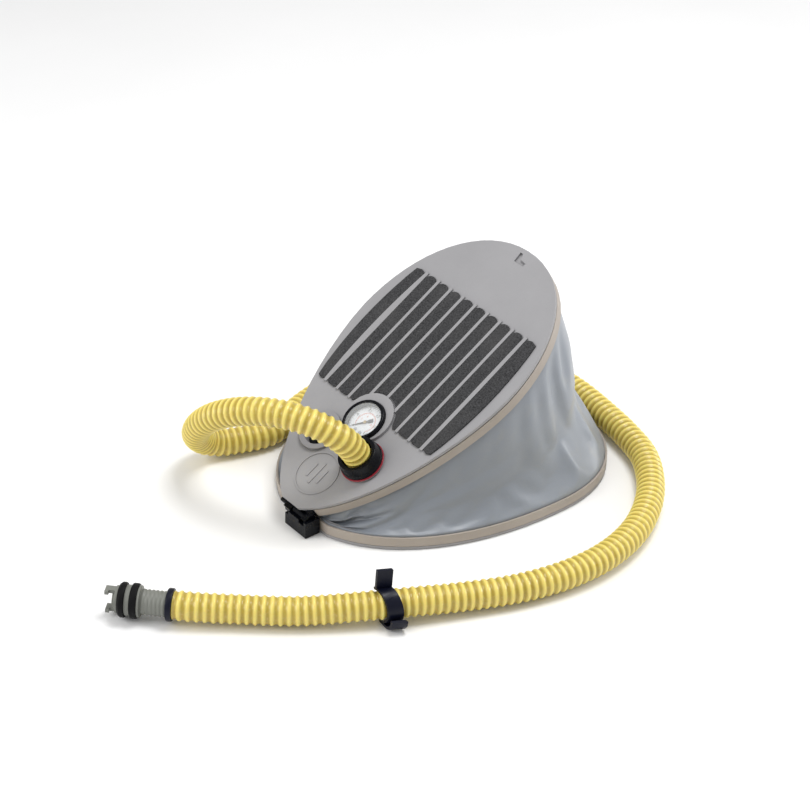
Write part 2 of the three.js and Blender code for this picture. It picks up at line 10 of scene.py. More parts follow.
import bpy
import numpy as np
from mathutils import Matrix, Vector, noise


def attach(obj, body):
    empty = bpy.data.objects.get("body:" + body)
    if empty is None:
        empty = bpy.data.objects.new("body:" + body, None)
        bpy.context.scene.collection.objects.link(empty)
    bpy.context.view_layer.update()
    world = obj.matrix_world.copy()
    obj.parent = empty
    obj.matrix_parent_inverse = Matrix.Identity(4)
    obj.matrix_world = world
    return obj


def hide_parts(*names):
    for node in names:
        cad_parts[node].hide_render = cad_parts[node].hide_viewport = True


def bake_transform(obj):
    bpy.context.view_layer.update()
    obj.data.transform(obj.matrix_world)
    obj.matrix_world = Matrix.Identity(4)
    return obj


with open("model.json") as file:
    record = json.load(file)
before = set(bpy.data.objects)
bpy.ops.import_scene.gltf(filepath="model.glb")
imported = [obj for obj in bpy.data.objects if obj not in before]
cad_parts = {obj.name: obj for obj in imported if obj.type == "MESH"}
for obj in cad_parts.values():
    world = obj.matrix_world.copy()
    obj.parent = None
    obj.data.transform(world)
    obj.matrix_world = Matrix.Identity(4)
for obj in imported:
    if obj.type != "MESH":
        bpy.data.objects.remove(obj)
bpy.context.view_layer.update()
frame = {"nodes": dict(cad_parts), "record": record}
MM = 0.001

# Driving dimensions, the same as the CAD model's
ORIGIN_X = 150 * MM
OPEN_ANGLE = math.radians(32)
PLATE_Z = 12.6 * MM
HINGE_X, HINGE_Z = -5 * MM - ORIGIN_X, 12 * MM
BASE_EGG = dict(nose=-2.5, mid=182, heel=296, half=122.5, nose_power=2.15, heel_power=2.4, cut=2.5)
PEDAL_EGG = dict(nose=-8, mid=174, heel=295, half=96.5, nose_power=1.62, heel_power=2.1, cut=3.2)
CLOTH_INSET = 2.1
CLOTH_THICKNESS = 0.8 * MM
GAUGE_U = 88.8
DIAL_H = 15.4

HOSE_RADIUS = 12.5 * MM
HOSE_PITCH = 6.7 * MM
HOSE_RIB_DEPTH = 1.5 * MM
HOSE_RIB_SHARPNESS = 1.3
HOSE_STEPS_PER_RIB = 8
HOSE_SIDES = 28
# The hose's route, in millimetres before the shift to the model's origin: off the pedal, then round the pump
HOSE_ARCH = [
    (38.0, -30, 65.0), (32.9, -30, 73.2), (27.5, -29.5, 81.5), (18, -26.5, 92), (4, -15, 103),
    (-11, 4, 108), (-24, 27, 105), (-33, 51, 95), (-38, 75, 79), (-37, 97, 58), (-29, 114, 36),
    (-15, 121.8, 20), (-1.5, 119.9, 13.9), (8, 117, 12.9),
]
HOSE_RUN = [
    (19, 113.6, 12.6), (30, 110.2, 12.6), (41, 108.4, 12.6), (52, 109.2, 12.6), (66, 114, 12.6),
    (84, 121.6, 12.6), (106, 128.6, 12.6), (140, 135.5, 12.6), (180, 138.5, 12.6), (240, 130, 12.6),
    (286, 97, 12.6), (307, 50, 12.6), (311, 0, 12.6), (306, -48, 12.6),
    (300, -81, 12.6), (290, -114, 12.6), (271, -143, 12.6), (245, -169, 12.6), (208, -192, 12.6),
    (167, -204, 12.6), (125, -205, 12.6), (79, -196, 12.6), (30, -177, 13.5), (-8, -160, 15.3),
    (-27, -150.5, 15.6), (-47, -139.5, 15.3), (-86, -114.5, 13.2), (-124, -84.5, 13.6),
    (-156.6, -57.9, 14.8), (-163.8, -50.4, 14.8),
]

CAMERA_TARGET = Vector((-24.5, 18.7, 58.2)) * MM
CAMERA_AZIMUTH, CAMERA_ELEVATION, CAMERA_ROLL = 50.5, 33.3, 2.0
CAMERA_DISTANCE = 2.2
CAMERA_LENS = 112.4


# ---------------------------------------------------------------- camera, floor and light
def add_camera():
    """A long-lens camera in front of the pump's right-hand side."""
    azimuth, elevation, roll = (math.radians(a) for a in (CAMERA_AZIMUTH, CAMERA_ELEVATION, CAMERA_ROLL))
    forward = Vector((
        math.cos(azimuth) * math.cos(elevation),
        math.sin(azimuth) * math.cos(elevation),
        -math.sin(elevation),
    ))
    level = Vector((math.sin(azimuth), -math.cos(azimuth), 0))
    upright = level.cross(forward)
    right = level * math.cos(roll) + upright * math.sin(roll)
    up = upright * math.cos(roll) - level * math.sin(roll)
    data = bpy.data.cameras.new("camera")
    data.lens = CAMERA_LENS
    camera = bpy.data.objects.new("camera", data)
    turn = Matrix((right, up, -forward)).transposed().to_4x4()
    camera.matrix_world = Matrix.Translation(CAMERA_TARGET - forward * CAMERA_DISTANCE) @ turn
    bpy.context.scene.collection.objects.link(camera)
    bpy.context.scene.camera = camera


def add_light(name, place, size, power):
    """A square soft box that faces the pump."""
    data = bpy.data.lights.new(name, "AREA")
    data.size = size
    data.energy = power
    light = bpy.data.objects.new(name, data)
    light.location = place
    aim = Vector((0, 0, 0.05)) - Vector(place)
    light.rotation_euler = aim.to_track_quat("-Z", "Y").to_euler()
    bpy.context.scene.collection.objects.link(light)


def add_studio():
    """A pale floor, a pale sky and three soft lights."""
    world = bpy.data.worlds.new("studio")
    world.use_nodes = True
    world.node_tree.nodes["Background"].inputs["Color"].default_value = (1, 1, 1, 1)
    world.node_tree.nodes["Background"].inputs["Strength"].default_value = 0.55
    bpy.context.scene.world = world
    bpy.context.scene.view_settings.view_transform = "Standard"
    add_light("key", (0.30, -0.15, 1.7), 0.7, 17)
    add_light("side", (1.5, -0.7, 0.6), 0.5, 10)
    add_light("left", (-1.3, 0.35, 0.9), 0.8, 9)
    floor = mesh_object("floor", *grid_mesh(40, 40, lambda a, b: ((a - 0.5) * 16, (b - 0.5) * 16, -0.0006)))
    floor.data.materials.append(MATERIALS["floor"])


# ---------------------------------------------------------------- mesh helpers
def mesh_object(name, vertices, faces, smooth=True):
    """A linked mesh object of these vertices and faces."""
    mesh = bpy.data.meshes.new(name)
    mesh.from_pydata([tuple(v) for v in vertices], [], [tuple(f) for f in faces])
    mesh.polygons.foreach_set("use_smooth", [smooth] * len(mesh.polygons))
    mesh.update()
    piece = bpy.data.objects.new(name, mesh)
    bpy.context.scene.collection.objects.link(piece)
    return piece


def grid_mesh(columns, rows, place):
    """Vertices and faces of a flat grid, each vertex placed by its two shares from 0 to 1."""
    vertices = [place(i / columns, j / rows) for j in range(rows + 1) for i in range(columns + 1)]
    faces = []
    for j in range(rows):
        for i in range(columns):
            a = j * (columns + 1) + i
            faces.append((a, a + 1, a + columns + 2, a + columns + 1))
    return vertices, faces


def tube_mesh(rings, capped=True):
    """Vertices and faces of a tube through rings of points, an array of rows, points and coordinates."""
    rows, count, _ = rings.shape
    a = (np.arange(rows - 1)[:, None] * count + np.arange(count)[None, :]).ravel()
    b = (np.arange(rows - 1)[:, None] * count + (np.arange(count)[None, :] + 1) % count).ravel()
    faces = np.stack([a, b, b + count, a + count], axis=1).tolist()
    if capped:
        faces.append(list(range(count))[::-1])
        faces.append(list(range((rows - 1) * count, rows * count)))
    return rings.reshape(-1, 3), faces


def sweep_rings(line, radii, count):
    """Rings of points about a line, carried along it without twist."""
    tangents = np.gradient(line, axis=0)
    tangents /= np.linalg.norm(tangents, axis=1)[:, None]
    side = np.cross(tangents[0], (0.0, 0.3, 1.0))
    rings = []
    turns = np.linspace(0, 2 * np.pi, count, endpoint=False)
    for point, tangent, radius in zip(line, tangents, radii):
        side = side - tangent * (side @ tangent)
        side = side / np.linalg.norm(side)
        other = np.cross(tangent, side)
        rings.append(point + radius * (np.cos(turns)[:, None] * side + np.sin(turns)[:, None] * other))
    return np.array(rings)


def add_attribute(piece, name, values):
    """A number on each vertex, for a material to read."""
    piece.data.attributes.new(name, "FLOAT", "POINT").data.foreach_set("value", np.asarray(values, np.float32))


def modify(piece, name, kind, **settings):
    """Adds a modifier with these settings."""
    modifier = piece.modifiers.new(name, kind)
    for key, value in settings.items():
        setattr(modifier, key, value)
    return modifier


def apply_modifiers(piece):
    """Bakes a piece's modifiers into its mesh."""
    bpy.context.view_layer.update()
    finished = bpy.data.meshes.new_from_object(piece.evaluated_get(bpy.context.evaluated_depsgraph_get()))
    piece.modifiers.clear()
    piece.data = finished


def catmull_rom(points, step):
    """A centripetal curve through points, cut into even steps of about that length."""
    points = np.array(points, float)
    ends = [2 * points[0] - points[1], 2 * points[-1] - points[-2]]
    knots = np.vstack([ends[0], points, ends[1]])
    fine = []
    for a, b, c, d in zip(knots, knots[1:], knots[2:], knots[3:]):
        t1 = np.linalg.norm(b - a) ** 0.5
        t2 = t1 + np.linalg.norm(c - b) ** 0.5
        t3 = t2 + np.linalg.norm(d - c) ** 0.5
        t = np.linspace(t1, t2, 40, endpoint=False)[:, None]
        ab = (t1 - t) / t1 * a + t / t1 * b
        bc = (t2 - t) / (t2 - t1) * b + (t - t1) / (t2 - t1) * c
        cd = (t3 - t) / (t3 - t2) * c + (t - t2) / (t3 - t2) * d
        abc = (t2 - t) / t2 * ab + t / t2 * bc
        bcd = (t3 - t) / (t3 - t1) * bc + (t - t1) / (t3 - t1) * cd
        fine.append((t2 - t) / (t2 - t1) * abc + (t - t1) / (t2 - t1) * bcd)
    fine = np.vstack([*fine, points[-1:]])
    run = np.concatenate([[0], np.cumsum(np.linalg.norm(np.diff(fine, axis=0), axis=1))])
    stations = np.linspace(0, run[-1], int(run[-1] / step) + 1)
    return np.stack([np.interp(stations, run, fine[:, k]) for k in range(3)], axis=1), stations


PEDAL_MATRIX = (
    Matrix.Translation((-ORIGIN_X, 0, PLATE_Z))
    @ Matrix.Rotation(-OPEN_ANGLE, 4, "Y")
    @ Matrix.Scale(MM, 4)
)


def pedal_point(u, v, h):
    """A point of the pedal's own frame, in millimetres, as a point of the model's frame."""
    return PEDAL_MATRIX @ Vector((u, v, h))


def bend_by(piece):
    """Bakes the piece's transform into its mesh."""
    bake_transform(piece)


# ---------------------------------------------------------------- materials
class Look:
    """A principled material whose colour, roughness and relief are built up step by step."""

    def __init__(self, name, roughness, metallic=0.0, **constants):
        self.material = bpy.data.materials.new(name)
        self.material.use_nodes = True
        self.tree = self.material.node_tree
        self.shader = self.tree.nodes["Principled BSDF"]
        self.shader.inputs["Metallic"].default_value = metallic
        self.shader.inputs["Roughness"].default_value = roughness
        for key, value in constants.items():
            self.shader.inputs[key.replace("_", " ")].default_value = value
        self.coordinates = self.node("ShaderNodeTexCoord").outputs["Object"]
        self.relief = None

    def node(self, kind, **settings):
        made = self.tree.nodes.new(kind)
        for key, value in settings.items():
            setattr(made, key, value)
        return made

    def link(self, start, end):
        self.tree.links.new(start, end)

    def noise(self, scale, detail=4.0, rough=0.55, stretch=(1, 1, 1)):
        """Noise from 0 to 1, with this many waves to the metre."""
        mapping = self.node("ShaderNodeMapping")
        mapping.inputs["Scale"].default_value = stretch
        self.link(self.coordinates, mapping.inputs["Vector"])
        made = self.node("ShaderNodeTexNoise")
        made.inputs["Scale"].default_value = scale
        made.inputs["Detail"].default_value = detail
        made.inputs["Roughness"].default_value = rough
        self.link(mapping.outputs["Vector"], made.inputs["Vector"])
        return made.outputs["Fac"]

    def spread(self, value, low, high, from_low=0.3, from_high=0.7):
        """A value moved from one range to another."""
        made = self.node("ShaderNodeMapRange")
        made.inputs["From Min"].default_value = from_low
        made.inputs["From Max"].default_value = from_high
        made.inputs["To Min"].default_value = low
        made.inputs["To Max"].default_value = high
        self.link(value, made.inputs["Value"])
        return made.outputs["Result"]

    def blend(self, share, first, second):
        """A colour between two, each a colour or an output, by a share."""
        made = self.node("ShaderNodeMix", data_type="RGBA")
        self.link(share, made.inputs["Factor"])
        for socket, colour in (("A", first), ("B", second)):
            target = next(s for s in made.inputs if s.name == socket and s.type == "RGBA")
            if isinstance(colour, tuple):
                target.default_value = (*colour, 1)
            else:
                self.link(colour, target)
        return next(s for s in made.outputs if s.type == "RGBA")

    def corners(self, reach):
        """1 in the open and lower in the piece's inner corners."""
        made = self.node("ShaderNodeAmbientOcclusion", samples=4)
        made.inputs["Distance"].default_value = reach
        return made.outputs["AO"]

    def colour(self, output):
        self.link(output, self.shader.inputs["Base Color"])

    def roughness(self, output):
        self.link(output, self.shader.inputs["Roughness"])

    def bump(self, height, distance, strength=1.0):
        """Adds relief of this height in metres over the last."""
        made = self.node("ShaderNodeBump")
        made.inputs["Distance"].default_value = distance
        made.inputs["Strength"].default_value = strength
        self.link(height, made.inputs["Height"])
        if self.relief is not None:
            self.link(self.relief, made.inputs["Normal"])
        self.relief = made.outputs["Normal"]
        self.link(self.relief, self.shader.inputs["Normal"])


def shade(colour, factor):
    """A colour made darker or lighter."""
    return tuple(min(1.0, c * factor) for c in colour)


def moulded(name, colour, roughness, grain=1400.0, depth=0.00004, wear=0.12, painted_shade_depth=0.82, **constants):
    """Moulded plastic or rubber: spark-eroded grain, uneven gloss, faint scuffs and painted shade in its
    corners.
    """
    look = Look(name, roughness, **constants)
    cloud = look.spread(look.noise(14), 0, 1)
    body = look.blend(cloud, shade(colour, 0.94), shade(colour, 1.05))
    speck = look.spread(look.noise(700, detail=2), 0, 0.35, 0.62, 0.75)
    body = look.blend(speck, body, shade(colour, 0.86))
    # painted shade: ambient occlusion darkens the colour in the piece's inner corners
    painted_corner_shade = look.spread(look.corners(0.006), 1 - painted_shade_depth, 0, 0.35, 0.9)
    look.colour(look.blend(painted_corner_shade, body, shade(colour, 0.42)))
    scuff = look.noise(60, detail=8, rough=0.7, stretch=(1, 5, 1))
    look.roughness(look.spread(scuff, roughness - wear, roughness + wear))
    look.bump(look.noise(grain, detail=3), depth)
    look.bump(look.noise(35, detail=2), 0.0003, 0.35)
    return look.material


def cloth_look():
    """Coated bellows cloth: a close weave under a satin film, with soft creases, faint soiling, and painted
    shade in its corners and along the folds at the hinge end.
    """
    colour = (0.225, 0.247, 0.282)
    look = Look("coated_cloth", 0.38, Sheen_Weight=0.12, Sheen_Roughness=0.5, Coat_Weight=0.25,
                Coat_Roughness=0.3)
    uv = look.node("ShaderNodeUVMap", uv_map="cloth").outputs["UV"]
    threads = []
    for direction in ("X", "Y"):
        wave = look.node("ShaderNodeTexWave", bands_direction=direction, wave_profile="SIN")
        wave.inputs["Scale"].default_value = 260.0
        wave.inputs["Distortion"].default_value = 0.4
        look.link(uv, wave.inputs["Vector"])
        threads.append(wave.outputs["Fac"])
    weave = look.node("ShaderNodeMath", operation="MULTIPLY")
    look.link(threads[0], weave.inputs[0])
    look.link(threads[1], weave.inputs[1])
    cloud = look.spread(look.noise(9, detail=5), 0, 1)
    body = look.blend(cloud, shade(colour, 0.93), shade(colour, 1.06))
    body = look.blend(look.spread(weave.outputs["Value"], 0, 0.25, 0, 1), body, shade(colour, 1.2))
    soil = look.spread(look.noise(45, detail=6), 0, 0.3, 0.58, 0.78)
    body = look.blend(soil, body, (0.30, 0.29, 0.26))
    # painted shade: ambient occlusion darkens the cloth in its corners and creases
    painted_corner_shade = look.spread(look.corners(0.012), 0.6, 0, 0.4, 0.95)
    body = look.blend(painted_corner_shade, body, shade(colour, 0.4))
    # painted shade: a dark teal laid along the fold lines near the hinge end, where the folds are shaded
    hinge_fold_shade = look.node("ShaderNodeAttribute", attribute_name="hinge_fold_shade").outputs["Fac"]
    look.colour(look.blend(look.spread(hinge_fold_shade, 0, 0.75, 0.1, 1), body, (0.012, 0.040, 0.055)))
    look.roughness(look.spread(look.noise(30, detail=5), 0.34, 0.52))
    look.bump(look.noise(38, detail=4, stretch=(1, 1, 2.5)), 0.0009, 0.5)
    look.bump(weave.outputs["Value"], 0.00005, 0.5)
    return look.material


def hose_look():
    """Flexible corrugated plastic: painted light on its ribs and painted shade in the valleys between them,
    with patches of dust.
    """
    look = Look("hose_plastic", 0.36, Subsurface_Weight=0.08, Subsurface_Scale=0.004, Coat_Weight=0.15,
                Coat_Roughness=0.25)
    rib = look.node("ShaderNodeAttribute", attribute_name="rib").outputs["Fac"]
    # painted light and shade: the rib tops paler, the valleys between the ribs much darker
    body = look.blend(look.spread(rib, 0, 1, 0.1, 0.85), (0.40, 0.28, 0.030), (0.84, 0.69, 0.17))
    cloud = look.spread(look.noise(25, detail=5), 0, 0.3)
    body = look.blend(cloud, body, (0.74, 0.58, 0.12))
    dust = look.spread(look.noise(320, detail=4), 0, 0.4, 0.55, 0.8)
    look.colour(look.blend(dust, body, (0.66, 0.54, 0.25)))
    look.roughness(look.spread(look.noise(90, detail=4), 0.26, 0.48))
    look.bump(look.noise(1200, detail=3), 0.00003)
    look.bump(look.noise(160, detail=2), 0.00015, 0.5)
    return look.material


def tread_look():
    """Rubber grip strip: coarse grit in a charcoal sheet, worn paler on its high grains."""
    look = Look("tread_rubber", 0.85, Specular_IOR_Level=0.2)
    grit = look.noise(900, detail=3, rough=0.7)
    body = look.blend(look.spread(grit, 0, 1, 0.35, 0.68), (0.012, 0.012, 0.013), (0.078, 0.078, 0.081))
    worn = look.spread(look.noise(24, detail=5), 0, 0.35, 0.5, 0.75)
    look.colour(look.blend(worn, body, (0.085, 0.083, 0.082)))
    look.roughness(look.spread(grit, 0.7, 0.95))
    look.bump(grit, 0.00035, 0.9)
    return look.material


def metal_look(name, colour, roughness):
    """Drawn or turned metal with fine lines and light tarnish."""
    look = Look(name, roughness, metallic=1.0)
    lines = look.noise(500, detail=3, stretch=(1, 12, 12))
    tarnish = look.spread(look.noise(120, detail=5), 0, 0.5, 0.5, 0.75)
    look.colour(look.blend(tarnish, colour, shade(colour, 0.6)))
    look.roughness(look.spread(lines, roughness - 0.1, roughness + 0.12))
    look.bump(lines, 0.00002, 0.6)
    return look.material


def print_look(name, colour):
    """Ink on the dial, a little uneven."""
    look = Look(name, 0.5)
    look.colour(look.blend(look.spread(look.noise(900), 0, 1), shade(colour, 0.8), colour))
    look.roughness(look.spread(look.noise(500), 0.4, 0.6))
    look.bump(look.noise(2500), 0.00001)
    return look.material


def lens_look():
    """The gauge's clear glass, with a haze of fine dust."""
    look = Look("gauge_glass", 0.03, Alpha=0.16, IOR=1.5)
    haze = look.noise(220, detail=6)
    look.colour(look.blend(look.spread(haze, 0, 0.3, 0.5, 0.8), (0.97, 0.99, 1.0), (0.85, 0.87, 0.88)))
    look.roughness(look.spread(haze, 0.01, 0.12, 0.45, 0.8))
    look.bump(look.noise(60, detail=1), 0.00002, 0.3)
    return look.material


def floor_look():
    """A plain pale studio floor."""
    look = Look("studio_floor", 0.75)
    look.colour(look.blend(look.spread(look.noise(3), 0, 1), (0.90, 0.90, 0.90), (0.93, 0.93, 0.93)))
    look.bump(look.noise(300), 0.0001, 0.1)
    return look.material


MATERIALS = {
    "grey_shell": moulded("shell_plastic", (0.295, 0.291, 0.300), 0.5),
    "beige_band": moulded("band_plastic", (0.36, 0.315, 0.275), 0.5, painted_shade_depth=0.7),
    "black_plastic": moulded("black_plastic", (0.0025, 0.003, 0.005), 0.26, wear=0.08, Specular_IOR_Level=0.16),
    "navy_plastic": moulded("navy_plastic", (0.004, 0.005, 0.014), 0.36, Specular_IOR_Level=0.2),
    "charcoal_rubber": moulded("black_rubber", (0.005, 0.005, 0.0055), 0.55, grain=900, depth=0.00006,
                               Specular_IOR_Level=0.12),
    "tread_rubber": tread_look(),
    "red_rubber": moulded("red_rubber", (0.30, 0.008, 0.022), 0.4),
    "port_grey": moulded("port_plastic", (0.27, 0.265, 0.275), 0.42, painted_shade_depth=0.6),
    "adapter_grey": moulded("adapter_plastic", (0.185, 0.19, 0.168), 0.5),
    "dial_white": moulded("dial_enamel", (0.90, 0.93, 0.97), 0.35, grain=2500, depth=0.00001, painted_shade_depth=0.98),
    "needle_black": moulded("needle_paint", (0.02, 0.012, 0.012), 0.4, grain=2500, depth=0.00001),
    "clear_lens": lens_look(),
    "brass": metal_look("brass", (0.62, 0.45, 0.19), 0.32),
    "steel": metal_look("steel", (0.55, 0.56, 0.58), 0.3),
    "coated_fabric": cloth_look(),
    "yellow_hose": hose_look(),
    "dial_black": print_look("dial_ink_black", (0.02, 0.02, 0.025)),
    "dial_orange": print_look("dial_ink_orange", (0.75, 0.12, 0.02)),
    "floor": floor_look(),
}


def finish(piece, slot_name, material=None):
    """Gives a new piece its material, looked up by the material's name or else by the slot's name."""
    piece.data.materials.clear()
    piece.data.materials.append(MATERIALS[material or slot_name])


# ---------------------------------------------------------------- bellows cloth
NOSE_STEPS = 12
SIDE_STEPS = 120
CLOTH_ROWS = 46
BASE_TUCK = (4.0, 7.0, 10.5)  # heights of the rows held under the base's band, then where the cloth comes free
BASE_FREE = 13.0
PEDAL_TUCK = (3.5, 6.0, 9.0)
PEDAL_FREE = 1.0
FOLD_WAVES = 2.6  # folds between the clamps at the hinge end
FOLD_REACH = 42.0  # how far round from the nose the painted shade of the folds goes

SETTLE_FRAMES = 24
SETTLE_MOVE = 6 * MM  # no point moves further than this, or than this share of its height between clamps
SETTLE_SHARE = 0.35
CLOTH_SETTINGS = dict(
    quality=8, mass=0.15, tension_stiffness=30, compression_stiffness=30, shear_stiffness=12,
    bending_stiffness=20, shrink_min=-0.0005,
)


def half_width(egg, x, inset):
    """Half the width of a plate's outline at one station, drawn in by an inset."""
    front = x < egg["mid"]
    reach = (egg["mid"] - egg["nose"] if front else egg["heel"] - egg["mid"]) - inset
    power = egg["nose_power"] if front else egg["heel_power"]
    ratio = min(abs(x - egg["mid"]) / reach, 1)
    return (egg["half"] - inset) * (1 - ratio ** power) ** (1 / power)


def outline(egg, inset, steps):
    """The closed outline of a plate's clamped edge, as points at matching places for both plates."""
    left = []
    for i in range(steps + 1):
        turn = math.pi * i / steps
        reach = egg["heel"] - egg["mid"] - inset if math.cos(turn) > 0 else egg["mid"] - egg["cut"] - inset
        x = egg["mid"] + math.cos(turn) * reach
        left.append((x, half_width(egg, x, inset)))
    nose_width = left[-1][1]
    nose = [(left[-1][0], nose_width * (1 - 2 * k / NOSE_STEPS)) for k in range(1, NOSE_STEPS)]
    right = [(x, -y) for x, y in left[:0:-1]]
    return np.array(left + nose + right, float)


def cloth_offset(height, share, along, place):
    """How far the slack cloth stands out from a straight line between the clamps, in millimetres."""
    hang = math.sin(math.pi * share)
    waist = -0.060 * height * hang * (1 - 0.5 * share)
    fold = -0.030 * height * math.exp(-(((share - 0.34) / 0.12) ** 2))
    crown = 0.022 * height * math.exp(-(((share - 0.72) / 0.15) ** 2))
    folds = math.cos(2 * math.pi * (FOLD_WAVES * share + 0.12))
    gathers = 5.0 * math.exp(-((along / 95.0) ** 2)) * hang * folds
    drift = 0.026 * height * hang * noise.noise(Vector((place[0] * 0.009, place[1] * 0.009, share * 1.3)))
    fan = 3.2 * hang * noise.noise(Vector((along * 0.007, share * 5.0, place[1] * 0.002)))
    return waist + fold + crown + gathers + drift + fan


def settle_cloth(piece, shares):
    """Lets the shaped cloth settle between its clamps, by a few frames of simulation and a small move."""
    heights = np.array([v.co.z for v in piece.data.vertices])
    room = np.minimum(shares, 1 - shares) * max(heights.max() - heights.min(), 1e-6)
    clamped = piece.vertex_groups.new(name="clamped")
    clamped.add(np.flatnonzero((shares <= 0.0) | (shares >= 1.0)).tolist(), 1.0, "REPLACE")
    before = np.array([v.co[:] for v in piece.data.vertices])
    cloth = piece.modifiers.new("slack", "CLOTH")
    settings = cloth.settings
    for key, value in CLOTH_SETTINGS.items():
        setattr(settings, key, value)
    settings.vertex_group_mass = "clamped"
    settings.effector_weights.gravity = 0.25
    cloth.collision_settings.use_collision = False
    cloth.point_cache.frame_start = 1
    cloth.point_cache.frame_end = SETTLE_FRAMES
    scene = bpy.context.scene
    for step in range(1, SETTLE_FRAMES + 1):
        scene.frame_set(step)
    settled = piece.evaluated_get(bpy.context.evaluated_depsgraph_get()).to_mesh()
    after = np.array([v.co[:] for v in settled.vertices])
    piece.evaluated_get(bpy.context.evaluated_depsgraph_get()).to_mesh_clear()
    piece.modifiers.clear()
    scene.frame_set(1)
    move = after - before
    size = np.maximum(np.linalg.norm(move, axis=1), 1e-9)
    limit = np.minimum(SETTLE_MOVE, SETTLE_SHARE * room)
    move *= np.minimum(1, limit / size)[:, None]
    piece.data.vertices.foreach_set("co", (before + move).ravel())
    piece.data.update()


def add_bellows():
    """One sheet of coated cloth round both plates, drawn in between them and folded near the hinge."""
    low = outline(BASE_EGG, CLOTH_INSET, SIDE_STEPS)
    high = outline(PEDAL_EGG, CLOTH_INSET, SIDE_STEPS)
    count = len(low)
    outward = np.roll(low, 1, axis=0) - np.roll(low, -1, axis=0)
    outward = np.stack([-outward[:, 1], outward[:, 0]], axis=1)
    outward /= np.linalg.norm(outward, axis=1)[:, None]
    steps = np.linalg.norm(np.diff(np.vstack([low, low[:1]]), axis=0), axis=1)
    along = np.concatenate([[0], np.cumsum(steps)[:-1]])
    nose_at = along[np.argmin(low[:, 0] + np.abs(low[:, 1]) * 0.01)]

    shares = np.concatenate([[0, 0, 0], np.linspace(0, 1, CLOTH_ROWS), [1, 1, 1]])
    low_heights = dict(enumerate(BASE_TUCK))
    high_heights = dict(enumerate(PEDAL_TUCK, len(shares) - len(PEDAL_TUCK)))
    rows = []
    for row, share in enumerate(shares):
        ring = []
        for i in range(count):
            start = Vector((low[i, 0], low[i, 1], low_heights.get(row, BASE_FREE))) * MM
            start.x -= ORIGIN_X
            end = pedal_point(high[i, 0], high[i, 1], high_heights.get(row, PEDAL_FREE))
            point = start.lerp(end, share)
            if row not in low_heights and row not in high_heights:
                stand = cloth_offset((end - start).length / MM, share, abs(along[i] - nose_at), low[i])
                point += Vector((outward[i, 0], outward[i, 1], 0)) * (stand * MM)
            ring.append(point)
        rows.append(ring)
    rings = np.array(rows)
    vertices, faces = tube_mesh(rings, capped=False)
    piece = mesh_object("bellows_cloth", vertices, faces)

    uv = piece.data.uv_layers.new(name="cloth")
    span = np.linalg.norm(np.diff(rings, axis=0), axis=2).cumsum(axis=0)
    span = np.vstack([np.zeros((1, count)), span])
    for loop in piece.data.loops:
        row, column = divmod(loop.vertex_index, count)
        uv.data[loop.index].uv = (along[column] * MM, span[row, column])
    add_attribute(piece, "share", np.repeat(shares, count))
    # a mask of painted shade for the cloth's colour: the fold lines, fading away from the nose
    from_nose = np.minimum(np.abs(along - nose_at), along[-1] - np.abs(along - nose_at))
    nearness = np.exp(-(from_nose / FOLD_REACH) ** 2)
    fold_lines = 0.5 + 0.5 * np.cos(2 * np.pi * (FOLD_WAVES * shares + 0.62))
    add_attribute(piece, "hinge_fold_shade", np.outer(fold_lines, nearness).ravel())
    settle_cloth(piece, np.repeat(shares, count))
    modify(piece, "cloth", "SOLIDIFY", thickness=CLOTH_THICKNESS, offset=-1.0)
    apply_modifiers(piece)

    shares_now = np.zeros(len(piece.data.vertices), np.float32)
    piece.data.attributes["share"].data.foreach_get("value", shares_now)
    bend_by(piece)
    finish(piece, "coated_fabric")
    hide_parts("bellows")


# ---------------------------------------------------------------- hose
def add_hose():
    """One corrugated hose from the connector on the pedal, over to the floor and round to its adapter."""
    route = [(np.array(p) - (ORIGIN_X / MM, 0, 0)) * MM for p in HOSE_ARCH + HOSE_RUN]
    line, run = catmull_rom(route, HOSE_PITCH / HOSE_STEPS_PER_RIB)
    wave = 0.5 + 0.5 * np.cos(2 * np.pi * run / HOSE_PITCH)
    rib = wave ** HOSE_RIB_SHARPNESS
    radii = HOSE_RADIUS - HOSE_RIB_DEPTH * (1 - rib)
    piece = mesh_object("corrugated_hose", *tube_mesh(sweep_rings(line, radii, HOSE_SIDES)))
    # the rib share also paints light on the ribs and shade in the valleys, in the hose's material
    add_attribute(piece, "rib", np.repeat(rib, HOSE_SIDES))
    finish(piece, "yellow_hose")

    arch_length = catmull_rom(route[:len(HOSE_ARCH)], HOSE_PITCH)[1][-1]
    bend_by(piece)
    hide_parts("air_hose_arch", "air_hose_run")


# ---------------------------------------------------------------- return spring
SPRING_X, SPRING_LOW, SPRING_HIGH, SPRING_WIRE, SPRING_TURNS = 155, 34, 25, 1.8, 6
SPRING_FLAT_TURNS = 0.75  # dead turns at each end, which lie flat on their seat
SPRING_LIFT_FROM, SPRING_LIFT = -2.2, 36.4  # degrees about the hinge
SPRING_SIDES = 12


